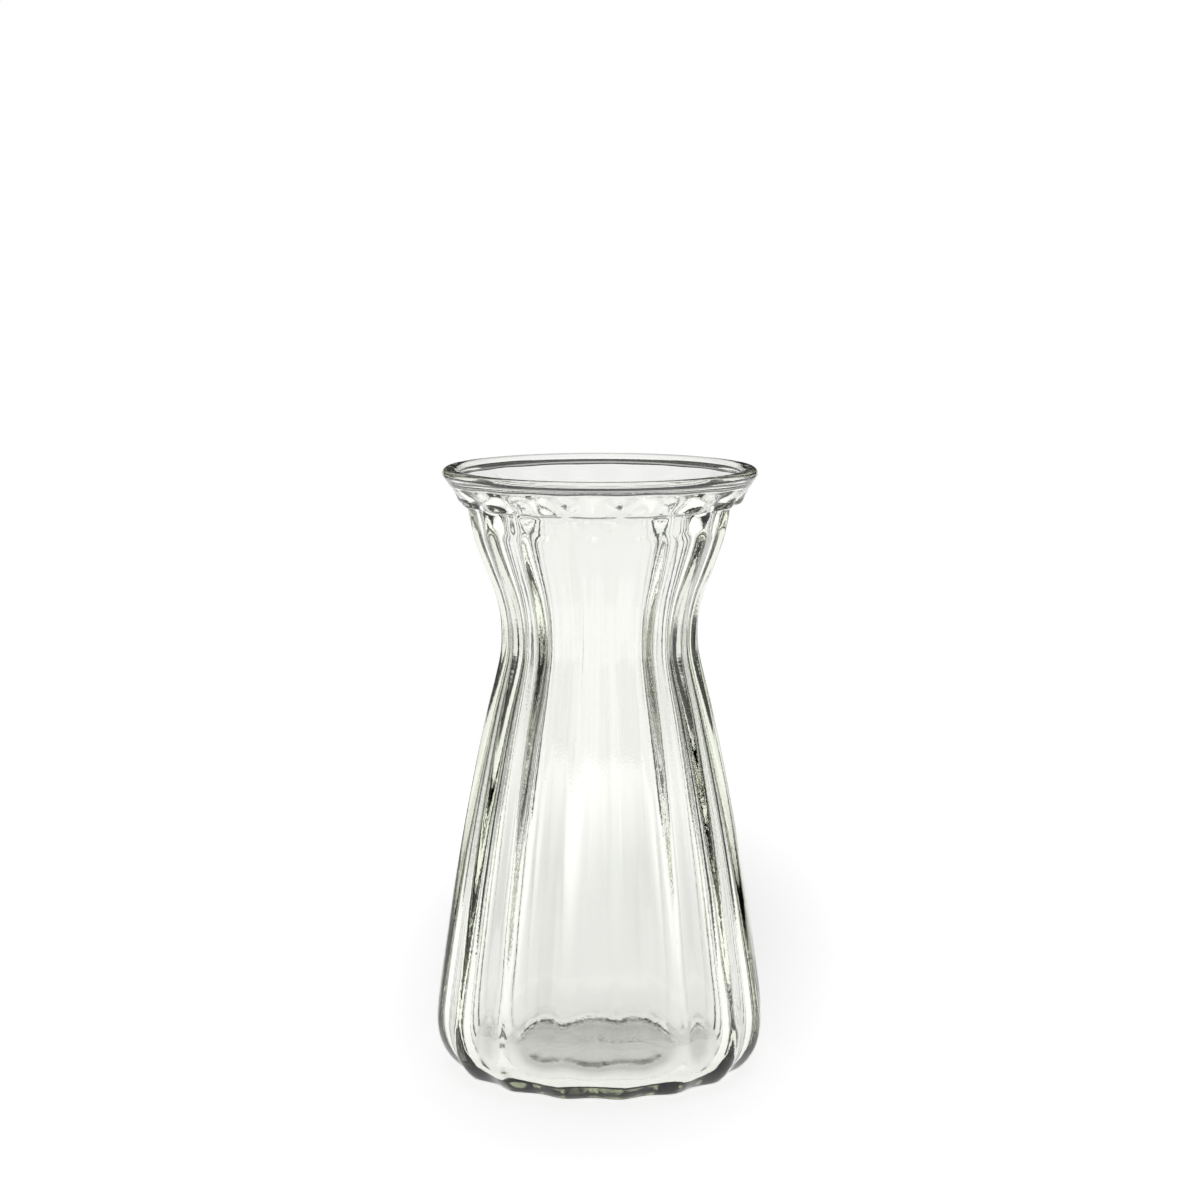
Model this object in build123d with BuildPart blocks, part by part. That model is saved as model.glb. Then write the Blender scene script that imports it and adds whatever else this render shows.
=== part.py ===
"""Waisted glass vase with sixteen soft flutes, a scalloped collar and a fire-polished rim.

One piece of moulded glass. +Z is up and the origin is the middle of the base. The flutes' hollows lie
on the X and Y axes, and the mould parts through the hollows on the Y axis. Lengths are in millimetres.
"""

import os
from math import atan2, cos, sin, tau

from build123d import *

os.makedirs("parts", exist_ok=True)

# The whole vase: how tall it stands, and the least thickness of its side and floor.
vase_height = 185.0
wall = 4.3
floor_thickness = 4.2
overrun = 5.0

# The body's outline, measured on the ridges between the flutes.
foot_radius = 43.4
widest_radius = 50.6
widest_height = 17.0
waist_radius = 30.2
waist_height = 135.2
neck_radius = 40.4

# Points that shape the outline between those sizes, as shares of the rise and of the change of radius.
heel_rise_share = 0.41
heel_swell_share = 0.76
hip_rise_share = 0.085
hip_narrowing_share = 0.05
flank_rise_share = 0.365
flank_narrowing_share = 0.29
throat_rise_share = 0.785
throat_narrowing_share = 0.76
flare_rise_share = 0.56
flare_widening_share = 0.52
neck_lean_share = 0.15

# How many level bands draw the heel, the side and each half of the rim.
heel_steps = 4
side_steps = 21
rim_steps = 4

# The flutes run from the foot to the collar, and the inside follows them more weakly.
flute_count = 16
flute_depth = 2.0
echo_depth = 0.9

# The collar round the mouth, whose points stand over the hollows of the body's flutes.
collar_height = 10.5
collar_radius = 43.4
collar_edge_radius = 1.2
scallop_depth = 2.2
collar_middle_share = 0.5
scallop_fade_share = 0.75

# The rounded rim on the collar, with a narrow flat crown.
rim_radius = 47.8
rim_roll_radius = 2.4
rim_crown = 0.4

# The middle of the floor is raised, above and below, inside the ring that the vase stands on.
raised_radius = 31.0
raised_height = 1.5
raised_slope = 3.5
inside_corner_reach = 7.0

collar_bottom = vase_height - collar_height
rim_height = vase_height - rim_roll_radius
outer_roll_centre = rim_radius - rim_roll_radius
inner_roll_centre = outer_roll_centre - rim_crown
inside_inset = wall + flute_depth - echo_depth
mouth_run = inner_roll_centre - rim_roll_radius - (neck_radius - inside_inset)
mouth_lean = atan2(mouth_run, rim_height - collar_bottom)


def between(start, end, share):
    """Return the value that lies the given share of the way from start to end."""
    return start + (end - start) * share


def around(radius, quarters):
    """Return the point at this radius, a number of quarter flutes round from the X axis."""
    angle = tau * quarters / (4 * flute_count)
    return radius * cos(angle), radius * sin(angle)


def turned(centre, reach, rise, angle):
    """Return the radius and height of a point on a rounded corner about the centre, at this angle."""
    return centre[0] + reach * cos(angle), centre[1] + rise * sin(angle)


def scalloped_section(point_radius, height, depth, first_point):
    """Return a level section: one arc from each outer point to the next, hollowed by depth."""
    with BuildSketch(Plane.XY.offset(height)) as section:
        with BuildLine():
            for point in range(first_point, first_point + 4 * flute_count, 4):
                ThreePointArc(
                    around(point_radius, point),
                    around(point_radius - depth, point + 2),
                    around(point_radius, point + 4),
                )
        make_face()
    return section.sketch


def body_point(rise_share, narrowing_share):
    """Return a point of the outline between the widest place and the waist."""
    return (
        between(widest_radius, waist_radius, narrowing_share),
        between(widest_height, waist_height, rise_share),
    )


# The outline of the ridges: a rounded heel, then one flowing line past the waist to the neck.
heel_line = Spline(
    (foot_radius, 0),
    (between(foot_radius, widest_radius, heel_swell_share), widest_height * heel_rise_share),
    (widest_radius, widest_height),
    tangents=((1, 1), (0, 1)),
)
side_line = Spline(
    (widest_radius, widest_height),
    body_point(hip_rise_share, hip_narrowing_share),
    body_point(flank_rise_share, flank_narrowing_share),
    body_point(throat_rise_share, throat_narrowing_share),
    (waist_radius, waist_height),
    (
        between(waist_radius, neck_radius, flare_widening_share),
        between(waist_height, collar_bottom, flare_rise_share),
    ),
    (neck_radius, collar_bottom),
    tangents=((0, 1), (neck_lean_share, 1)),
)
heel_stations = [heel_line @ (step / heel_steps) for step in range(heel_steps)]
side_stations = [side_line @ (step / side_steps) for step in range(side_steps + 1)]

with BuildPart() as vase:
    # The fluted body, lofted through its sections from the foot to the neck.
    body = [scalloped_section(at.X, at.Y, flute_depth, 2) for at in heel_stations + side_stations]
    loft(body, ruled=True)

    # The collar flares from its overhanging lower edge, and its scallops die out at the rim.
    edge_height = collar_bottom + collar_edge_radius
    middle_height = between(edge_height, rim_height, collar_middle_share)
    middle_radius = between(collar_radius, rim_radius, collar_middle_share)
    collar = [
        scalloped_section(collar_radius - collar_edge_radius, collar_bottom, scallop_depth, 0),
        scalloped_section(collar_radius, edge_height, scallop_depth, 0),
        scalloped_section(middle_radius, middle_height, scallop_depth * scallop_fade_share, 0),
    ]
    for step in range(rim_steps + 1):
        roll_angle = tau / 4 * step / rim_steps
        rim_point = turned((outer_roll_centre, rim_height), rim_roll_radius, rim_roll_radius, roll_angle)
        collar.append(scalloped_section(*rim_point, 0, 0))
    loft(collar, ruled=True)

    # The inside: a rounded corner at the floor, a weaker echo of the flutes, and the rim's inner half.
    corner_centre = (widest_radius - inside_inset - inside_corner_reach, widest_height)
    corner_rise = widest_height - floor_thickness
    inside = []
    for step in range(heel_steps):
        corner_angle = tau / 4 * (step / heel_steps - 1)
        corner_point = turned(corner_centre, inside_corner_reach, corner_rise, corner_angle)
        inside.append(scalloped_section(*corner_point, echo_depth, 2))
    inside += [scalloped_section(at.X - inside_inset, at.Y, echo_depth, 2) for at in side_stations]
    for step in range(rim_steps + 1):
        roll_angle = between(tau / 2 - mouth_lean, tau / 4, step / rim_steps)
        rim_point = turned((inner_roll_centre, rim_height), rim_roll_radius, rim_roll_radius, roll_angle)
        inside.append(scalloped_section(*rim_point, 0, 2))
    inside.append(scalloped_section(inner_roll_centre, vase_height + overrun, 0, 2))
    loft(inside, ruled=True, mode=Mode.SUBTRACT)

    # The raised middle of the floor, and the same form taken out of the underside.
    for bottom, change in ((floor_thickness, Mode.ADD), (0, Mode.SUBTRACT)):
        with BuildSketch(Plane.XZ):
            with BuildLine():
                Polyline(
                    (0, bottom),
                    (raised_radius, bottom),
                    (raised_radius - raised_slope, bottom + raised_height),
                    (0, bottom + raised_height),
                    close=True,
                )
            make_face()
        revolve(axis=Axis.Z, mode=change)

vase.part.label = "glass_vase"
export_step(vase.part, "parts/glass_vase.step")
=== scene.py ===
from math import cos, exp, pi, radians, sin, tau

import bmesh
import bpy
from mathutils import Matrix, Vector, noise


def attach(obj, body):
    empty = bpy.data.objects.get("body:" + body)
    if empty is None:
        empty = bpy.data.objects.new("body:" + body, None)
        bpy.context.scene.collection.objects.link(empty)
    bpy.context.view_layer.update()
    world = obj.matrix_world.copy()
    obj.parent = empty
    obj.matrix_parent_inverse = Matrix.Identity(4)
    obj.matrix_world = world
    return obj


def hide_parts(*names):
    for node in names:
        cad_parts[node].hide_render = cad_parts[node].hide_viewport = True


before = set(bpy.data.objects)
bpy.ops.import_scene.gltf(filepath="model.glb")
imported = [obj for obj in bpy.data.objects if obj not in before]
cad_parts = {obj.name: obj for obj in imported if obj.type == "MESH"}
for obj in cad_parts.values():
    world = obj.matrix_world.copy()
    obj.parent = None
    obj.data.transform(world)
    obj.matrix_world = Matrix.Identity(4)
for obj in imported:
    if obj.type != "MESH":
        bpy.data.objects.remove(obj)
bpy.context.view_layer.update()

# The vase: one piece of clear soda-lime glass, blown in a two-part mould that gives it sixteen flutes
# and a scalloped collar. The rim was melted smooth, and the foot ring stands flat. Sizes are in mm.
mm = 0.001
vase_height = 185.0
flutes = 16
columns_per_flute = 18

# Columns of points round the vase, closer together at the two mould seams, front and back.
even_columns = flutes * columns_per_flute
turns = [tau * i / even_columns for i in range(even_columns)]
seam_turns = (0.0, pi)
seam_steps = (0.004, 0.008, 0.013)
for seam in seam_turns:
    turns += [(seam + side * step) % tau for step in seam_steps for side in (-1, 1)]
turns = sorted(set(round(turn, 6) for turn in turns))
rings = []


def add_ring(radius_at, height_at):
    """Add one ring of points; radius and height are functions of the turn round the axis."""
    rings.append([(radius_at(turn), turn, height_at(turn)) for turn in turns])


def level(value):
    """The same radius or height all the way round."""
    return lambda turn: value


def spread(start, end, count):
    """Even steps from start to end, both included."""
    return [start + (end - start) * i / count for i in range(count + 1)]


# Underside: its middle is raised on a soft shoulder, inside the ring that the vase stands on.
raised_height = 1.1
shoulder_radius = 28.5
shoulder_width = 1.6


def raised_share(radius):
    """How far the floor is raised at a radius, as a share of the full height."""
    return 1 / (1 + exp((radius - shoulder_radius) / shoulder_width))


underside_radii = (
    3.0, 8.0, 14.0, 19.0, 22.0, 24.0, 25.5, 27.0, 28.5, 30.0, 31.5, 33.0, 35.0, 37.0, 39.5,
)
for radius in underside_radii:
    add_ring(level(radius), level(raised_height * raised_share(radius)))

# Outside of the body. The outline gives the height and the radius of the ridges between the flutes,
# from the foot past the waist to the neck.
body_outline = (
    (0.0, 43.4), (3.0, 46.4), (7.0, 48.9), (12.0, 50.3), (17.0, 50.6), (27.0, 49.5),
    (40.0, 47.6), (60.0, 44.6), (85.0, 40.2), (110.0, 35.0), (122.0, 32.0), (129.0, 30.5),
    (135.0, 30.2), (141.0, 30.7), (148.0, 32.4), (156.0, 35.4), (165.0, 38.5), (174.5, 40.4),
)
heel_top = 17.0
throat_bottom = 120.0
neck_top = 173.9
foot_edge_radius = 42.3
foot_edge_height = 0.15
flute_depth = 2.0
hollow_fullness = 0.85
waist_height = 137.0
waist_reach = 15.0
waist_softening = 0.22
seam_rise = 0.10
seam_half_turn = 0.006
ripple_length = 26.0
ripples_round = 2.2
fine_ripple = 2.3
fine_ripple_share = 0.5
outside_ripple = 0.05
outside_seed = 0.0


def outline_slope(k):
    """Slope of the outline at its point k, from the points on either side."""
    low = body_outline[max(k - 1, 0)]
    high = body_outline[min(k + 1, len(body_outline) - 1)]
    return (high[1] - low[1]) / (high[0] - low[0])


def ridge_radius(height):
    """Radius of the ridges at a height, on a smooth curve through the outline's points."""
    k = 0
    while k < len(body_outline) - 2 and height > body_outline[k + 1][0]:
        k += 1
    (z0, r0), (z1, r1) = body_outline[k], body_outline[k + 1]
    span = z1 - z0
    t = (height - z0) / span
    return (
        (2 * t**3 - 3 * t**2 + 1) * r0
        + (t**3 - 2 * t**2 + t) * span * outline_slope(k)
        + (3 * t**2 - 2 * t**3) * r1
        + (t**3 - t**2) * span * outline_slope(k + 1)
    )


def hollowness(turn):
    """1 in the middle of a flute's hollow and 0 on a ridge; the ridges are a little the narrower."""
    return ((1 + cos(flutes * turn)) / 2) ** hollow_fullness


def depth_share(height):
    """The flutes are a little shallower round the waist than elsewhere."""
    return 1 - waist_softening * exp(-(((height - waist_height) / waist_reach) ** 2))


def seam_height(turn):
    """How far the mould's parting line stands out."""
    offset = min(abs(turn), abs(turn - pi), abs(turn - tau))
    return seam_rise * exp(-((offset / seam_half_turn) ** 2))


def ripple(turn, height, seed):
    """Slow unevenness of blown glass, about -1 to 1, with waves some 25 mm long."""
    spot = Vector((ripples_round * cos(turn), ripples_round * sin(turn), height / ripple_length + seed))
    return noise.noise(spot) + fine_ripple_share * noise.noise(spot * fine_ripple)


add_ring(lambda turn: foot_edge_radius - flute_depth * hollowness(turn), level(foot_edge_height))
outside_heights = spread(0.0, heel_top, 22)[1:]
outside_heights += spread(heel_top, throat_bottom, 56)[1:]
outside_heights += spread(throat_bottom, neck_top, 44)[1:]
for height in outside_heights:
    ridge = ridge_radius(height)
    depth = flute_depth * depth_share(height)
    add_ring(
        lambda turn: ridge - depth * hollowness(turn) + seam_height(turn)
        + outside_ripple * ripple(turn, height, outside_seed),
        level(height),
    )

# The collar: a sloping underside, a rounded lower edge, and a flare whose scallops die out at the rim.
# Each row is the rise above the edge, the radius of the points, and the share of the scallops' depth.
collar_bottom = 174.5
scallop_depth = 2.2
point_drop = 0.4
drop_fade = 1.5
collar_outline = (
    (-0.45, 41.2, 0.4), (-0.15, 42.1, 0.7), (0.15, 42.65, 0.88), (0.5, 43.05, 1.0),
    (1.0, 43.35, 1.0), (1.8, 43.7, 0.85), (3.0, 44.3, 0.55), (4.2, 45.0, 0.3),
    (5.4, 45.8, 0.12), (6.5, 46.5, 0.04), (7.5, 47.1, 0.0),
)


def scallop(turn):
    """0 on a point of the collar, over a hollow of the body, and 1 half way to the next point."""
    return sin(flutes * turn / 2) ** 2


for rise, radius, share in collar_outline:
    add_ring(
        lambda turn: radius - scallop_depth * share * scallop(turn) + seam_height(turn),
        lambda turn: collar_bottom + rise - point_drop * (1 - scallop(turn)) * exp(-abs(rise) / drop_fade),
    )

# The rim: a tight roll outside, and a bead that stands a little proud of the mouth inside.
rim_radius = 47.8
roll = 1.5
roll_start = radians(-28)
roll_radius = rim_radius - roll
roll_height = vase_height - roll
for angle in spread(roll_start, radians(90), 16):
    add_ring(level(roll_radius + roll * cos(angle)), level(roll_height + roll * sin(angle)))
rim_crown = 1.5
bead_reach = 2.3
bead_rise = 1.6
bead_end = radians(222)
bead_radius = roll_radius - rim_crown
bead_height = vase_height - bead_rise
for angle in spread(radians(90), bead_end, 18):
    add_ring(level(bead_radius + bead_reach * cos(angle)), level(bead_height + bead_rise * sin(angle)))

# Inside: the flared mouth, the side that follows the flutes more weakly, a rounded corner and the floor.
inside_inset = 5.4
echo_depth = 0.9
inside_ripple = 0.10
inside_seed = 7.0
throat_top = 168.0
mouth_lean = 0.30
crease_reach = 0.25
crease_drop = 0.2
mouth_radius = bead_radius + bead_reach * cos(bead_end) + crease_reach
mouth_height = bead_height + bead_rise * sin(bead_end) - crease_drop
throat_radius = ridge_radius(throat_top) - inside_inset
for height in spread(mouth_height, throat_top, 16):
    t = (height - throat_top) / (mouth_height - throat_top)
    flare_share = mouth_lean * t + (1 - mouth_lean) * t * t
    radius = throat_radius + (mouth_radius - throat_radius) * flare_share
    add_ring(lambda turn: radius + inside_ripple * ripple(turn, height, inside_seed), level(height))
corner_top = 17.0
inside_heights = spread(throat_top, throat_bottom, 36)[1:]
inside_heights += spread(throat_bottom, corner_top, 48)[1:]
for height in inside_heights:
    radius = ridge_radius(height) - inside_inset
    depth = echo_depth * depth_share(height)
    add_ring(
        lambda turn: radius - depth * hollowness(turn) + inside_ripple * ripple(turn, height, inside_seed),
        level(height),
    )
floor_top = 5.4
floor_radius = 38.5
floor_ripple = 0.12
floor_seed = 3.0
corner_drop = corner_top - floor_top
corner_reach = ridge_radius(corner_top) - inside_inset - floor_radius
for angle in spread(0.0, tau / 4, 18)[1:]:
    radius = floor_radius + corner_reach * cos(angle)
    height = corner_top - corner_drop * sin(angle)
    depth = echo_depth * cos(angle)
    add_ring(
        lambda turn: radius - depth * hollowness(turn) + inside_ripple * ripple(turn, height, inside_seed),
        level(height),
    )
floor_radii = (
    37.0, 35.5, 34.0, 32.5, 31.0, 29.5, 28.0, 26.5, 25.0, 23.0, 20.5, 17.5, 14.0, 10.0, 6.0, 3.0,
)
for radius in floor_radii:
    rise = raised_height * raised_share(radius)
    add_ring(level(radius), lambda turn: floor_top + rise + floor_ripple * ripple(turn, radius, floor_seed))

# The rings become one closed skin, with a point in the middle of the underside and of the floor.
vertices = [(r * sin(turn) * mm, -r * cos(turn) * mm, z * mm) for ring in rings for r, turn, z in ring]
count = len(turns)
faces = []
for k in range(len(rings) - 1):
    low = k * count
    high = low + count
    faces += [(low + i, low + (i + 1) % count, high + (i + 1) % count, high + i) for i in range(count)]
under_middle = len(vertices)
floor_middle = under_middle + 1
floor_start = (len(rings) - 1) * count
vertices += [(0.0, 0.0, raised_height * mm), (0.0, 0.0, (floor_top + raised_height) * mm)]
faces += [(under_middle, (i + 1) % count, i) for i in range(count)]
faces += [(floor_middle, floor_start + i, floor_start + (i + 1) % count) for i in range(count)]
glass_mesh = bpy.data.meshes.new("glass_vase_body")
glass_mesh.from_pydata(vertices, [], faces)
glass_mesh.polygons.foreach_set("use_smooth", [True] * len(faces))
glass_mesh.update()
glass = bpy.data.objects.new("glass_vase_body", glass_mesh)
bpy.context.collection.objects.link(glass)


def colour(hex_code):
    """Linear colour of an sRGB hex value."""
    parts = [int(hex_code[i:i + 2], 16) / 255 for i in (1, 3, 5)]
    return [p / 12.92 if p <= 0.04045 else ((p + 0.055) / 1.055) ** 2.4 for p in parts] + [1.0]


def node(tree, kind, links=(), values=(), **settings):
    """Add a node with its settings and socket values, and link outputs of other nodes to it."""
    made = tree.nodes.new(kind)
    for name, value in settings.items():
        setattr(made, name, value)
    for socket, value in values:
        made.inputs[socket].default_value = value
    for output, socket in links:
        tree.links.new(output, made.inputs[socket])
    return made


# Soda-lime glass from a mould: clear on its face, a faint grey-green in its thickness, and a fine
# unevenness of the skin, about 1 mm across, that breaks up the edges of what is seen through it.
glass_material = bpy.data.materials.new("soda_lime_glass_moulded")
glass_material.use_nodes = True
tree = glass_material.node_tree
surface = tree.nodes["Principled BSDF"]
surface.inputs["Base Color"].default_value = colour("#FFFFFF")
surface.inputs["Roughness"].default_value = 0.0
surface.inputs["IOR"].default_value = 1.52
surface.inputs["Transmission Weight"].default_value = 1.0
grain_size = 0.9 * mm
grain_height = 0.015 * mm
place = node(tree, "ShaderNodeTexCoord")
grain = node(
    tree, "ShaderNodeTexNoise", [(place.outputs["Object"], "Vector")],
    [("Scale", 1 / grain_size), ("Detail", 2.0)],
)
skin = node(
    tree, "ShaderNodeBump", [(grain.outputs["Fac"], "Height")],
    [("Strength", 1.0), ("Distance", grain_height)],
)
tree.links.new(skin.outputs["Normal"], surface.inputs["Normal"])
tint = node(tree, "ShaderNodeVolumeAbsorption", (), [("Color", colour("#F2F8DA")), ("Density", 22.0)])
tree.links.new(tint.outputs["Volume"], tree.nodes["Material Output"].inputs["Volume"])
glass_mesh.materials.append(glass_material)
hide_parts("glass_vase")
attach(glass, "root")

# The floor: a round sheet of matt white card with a painted glow, an emission that stands in for the light
# on it; it is no lamp. The glow is painted dimmer under the vase and in a soft, narrow painted shadow that
# falls behind it, away from the camera.
card_radius = 470 * mm
card_height = -0.5 * mm
card_sides = 96
raised_edge = 26 * mm
ring_edge = 33 * mm
painted_shade_under_vase = 0.42
painted_glow_near_foot = 0.67
painted_shadow_middle = 150 * mm
painted_shadow_narrowing = 3.0
painted_shadow_core = 120 * mm
painted_shadow_end = 300 * mm
painted_glow_clear_of_shadow = 0.25
card_turns = [tau * i / card_sides for i in range(card_sides)]
card_mesh = bpy.data.meshes.new("white_card")
card_mesh.from_pydata(
    [(card_radius * cos(turn), card_radius * sin(turn), card_height) for turn in card_turns],
    [],
    [tuple(range(card_sides))],
)
card = bpy.data.objects.new("white_card", card_mesh)
bpy.context.collection.objects.link(card)
card_material = bpy.data.materials.new("white_card_painted_glow_and_shade")
card_material.use_nodes = True
tree = card_material.node_tree
tree.nodes.remove(tree.nodes["Principled BSDF"])
place = node(tree, "ShaderNodeTexCoord")
distance = node(tree, "ShaderNodeVectorMath", [(place.outputs["Object"], 0)], operation="LENGTH")
# Painted shade: under the vase the glow drops from its level round the foot to a lower level inside the
# raised middle.
under = node(
    tree, "ShaderNodeMapRange", [(distance.outputs["Value"], "Value")],
    [("From Min", raised_edge), ("From Max", ring_edge), ("To Min", painted_shade_under_vase), ("To Max", painted_glow_near_foot)],
)
# Painted shadow: a soft strip behind the vase, narrowed across, where the glow stays at its level round the
# foot.
widened = node(
    tree, "ShaderNodeVectorMath", [(place.outputs["Object"], 0)], [(1, (painted_shadow_narrowing, 1.0, 1.0))],
    operation="MULTIPLY",
)
clear_of = node(
    tree, "ShaderNodeVectorMath", [(widened.outputs["Vector"], 0)], [(1, (0.0, painted_shadow_middle, 0.0))],
    operation="DISTANCE",
)
beyond = node(
    tree, "ShaderNodeMapRange", [(clear_of.outputs["Value"], "Value")],
    [("From Min", painted_shadow_core), ("From Max", painted_shadow_end), ("To Min", 0.0), ("To Max", painted_glow_clear_of_shadow)],
)
shade = node(tree, "ShaderNodeMath", [(under.outputs[0], 0), (beyond.outputs[0], 1)], operation="ADD")
# Painted light: the card's emission, whose strength carries the painted shade and shadow above, stands in
# for the light on the card.
glow = node(tree, "ShaderNodeEmission", [(shade.outputs[0], "Strength")], [("Color", colour("#FFFFFF"))])
matt = node(tree, "ShaderNodeBsdfDiffuse", (), [("Color", colour("#F4F4F4"))])
card_face = node(tree, "ShaderNodeAddShader", [(glow.outputs[0], 0), (matt.outputs[0], 1)])
tree.links.new(card_face.outputs[0], tree.nodes["Material Output"].inputs["Surface"])
card_mesh.materials.append(card_material)

# The light: a plain white studio, and a large round softbox that hangs over the vase. The glass doesn't
# show the softbox itself.
studio = bpy.data.worlds.new("white_studio")
bpy.context.scene.world = studio
studio.use_nodes = True
background = studio.node_tree.nodes["Background"]
background.inputs["Color"].default_value = colour("#FFFFFF")
background.inputs["Strength"].default_value = 1.0
lamp_data = bpy.data.lights.new("overhead_softbox", "AREA")
lamp_data.shape = "DISK"
lamp_data.size = 1.4
lamp_data.energy = 3.5
lamp = bpy.data.objects.new("overhead_softbox", lamp_data)
lamp.location = (0.0, 0.15, 1.6)
lamp.visible_glossy = False
lamp.visible_transmission = False
bpy.context.collection.objects.link(lamp)

# The flags: black cloth hung far off, round the vase and over it, to draw the edges of clear glass. It is a
# filter, with soft-edged openings that leave white panels. The camera looks past it and sees white.
surround_radius = 20.0
surround_mesh = bpy.data.meshes.new("black_flags")
shell = bmesh.new()
bmesh.ops.create_uvsphere(shell, u_segments=64, v_segments=32, radius=surround_radius)
shell.to_mesh(surround_mesh)
shell.free()
surround = bpy.data.objects.new("black_flags", surround_mesh)
surround.visible_camera = False
bpy.context.collection.objects.link(surround)
swing = radians(2.95)
gap_level = 0.03
soft_edge = radians(2)
soft_top = 0.02
over_level = 0.05
# Each panel: its bearing and half width in degrees, its lowest and highest view (sine), its brightness.
panels = (
    (0, 21.5, -2.0, 0.06, 1.0),
    (0, 30, 0.26, 0.5, 0.5),
    (45, 9, -2.0, -0.05, 0.9),
    (-45, 9, -2.0, -0.05, 0.9),
    (90, 14, -2.0, 0.06, 0.9),
    (-90, 14, -2.0, 0.06, 0.9),
    (135, 18, -2.0, 0.06, 1.0),
    (-135, 18, -2.0, 0.06, 1.0),
    (180, 28, -2.0, 0.4, 1.0),
)
flag_material = bpy.data.materials.new("black_cloth_hung")
flag_material.use_nodes = True
tree = flag_material.node_tree
tree.nodes.remove(tree.nodes["Principled BSDF"])
place = node(tree, "ShaderNodeTexCoord")
outward = node(tree, "ShaderNodeVectorMath", [(place.outputs["Object"], 0)], operation="NORMALIZE")
way = node(tree, "ShaderNodeSeparateXYZ", [(outward.outputs["Vector"], 0)])
bearing = node(tree, "ShaderNodeMath", [(way.outputs["X"], 0), (way.outputs["Y"], 1)], operation="ARCTAN2")
walls = node(tree, "ShaderNodeMath", (), [(0, 0.0), (1, 0.0)], operation="ADD")
for centre, half_width, lowest, highest, brightness in panels:
    off = node(
        tree, "ShaderNodeMath", [(bearing.outputs[0], 0)], [(1, swing - radians(centre))], operation="ADD",
    )
    wrapped = node(tree, "ShaderNodeMath", [(off.outputs[0], 0)], [(1, pi), (2, -pi)], operation="WRAP")
    aside = node(tree, "ShaderNodeMath", [(wrapped.outputs[0], 0)], operation="ABSOLUTE")
    edge = radians(half_width)
    across = node(
        tree, "ShaderNodeMapRange", [(aside.outputs[0], "Value")],
        [
            ("From Min", edge - soft_edge), ("From Max", edge + soft_edge),
            ("To Min", brightness), ("To Max", gap_level),
        ],
    )
    above = node(
        tree, "ShaderNodeMath", [(way.outputs["Z"], 0)], [(1, (lowest + highest) / 2)], operation="SUBTRACT",
    )
    apart = node(tree, "ShaderNodeMath", [(above.outputs[0], 0)], operation="ABSOLUTE")
    half_height = (highest - lowest) / 2
    upright = node(
        tree, "ShaderNodeMapRange", [(apart.outputs[0], "Value")],
        [
            ("From Min", half_height - soft_top), ("From Max", half_height + soft_top),
            ("To Min", 1.0), ("To Max", over_level),
        ],
    )
    panel = node(
        tree, "ShaderNodeMath", [(across.outputs[0], 0), (upright.outputs[0], 1)], operation="MULTIPLY",
    )
    walls = node(
        tree, "ShaderNodeMath", [(walls.outputs[0], 0), (panel.outputs[0], 1)], operation="MAXIMUM",
    )
fall_start = -0.02
fall_end = -0.2
fall_level = 0.96
fall = node(
    tree, "ShaderNodeMapRange", [(way.outputs["Z"], "Value")],
    [("From Min", fall_start), ("From Max", fall_end), ("To Min", 1.0), ("To Max", fall_level)],
)
cloth_foot = -0.17
cloth_end = -0.23
below_level = 0.95
below = node(
    tree, "ShaderNodeMapRange", [(way.outputs["Z"], "Value")],
    [("From Min", cloth_foot), ("From Max", cloth_end), ("To Min", 0.0), ("To Max", below_level)],
)
walls = node(tree, "ShaderNodeMath", [(walls.outputs[0], 0), (fall.outputs[0], 1)], operation="MULTIPLY")
room = node(tree, "ShaderNodeMath", [(walls.outputs[0], 0), (below.outputs[0], 1)], operation="MAXIMUM")
cloth = node(tree, "ShaderNodeBsdfTransparent", [(room.outputs[0], "Color")])
tree.links.new(cloth.outputs[0], tree.nodes["Material Output"].inputs["Surface"])
surround_mesh.materials.append(flag_material)

# The camera: a long lens, a little above the vase and looking slightly down on it, turned a little
# to the side of the front seam.
camera_distance = 0.904
camera_height = 0.273
camera_tilt = radians(8.1)
camera_data = bpy.data.cameras.new("camera")
camera_data.sensor_width = 36.0
camera_data.lens = 90.0
camera = bpy.data.objects.new("camera", camera_data)
camera.location = (camera_distance * sin(swing), -camera_distance * cos(swing), camera_height)
camera.rotation_euler = (tau / 4 - camera_tilt, 0.0, swing)
bpy.context.collection.objects.link(camera)
bpy.context.scene.camera = camera
bpy.context.scene.view_settings.view_transform = "Standard"
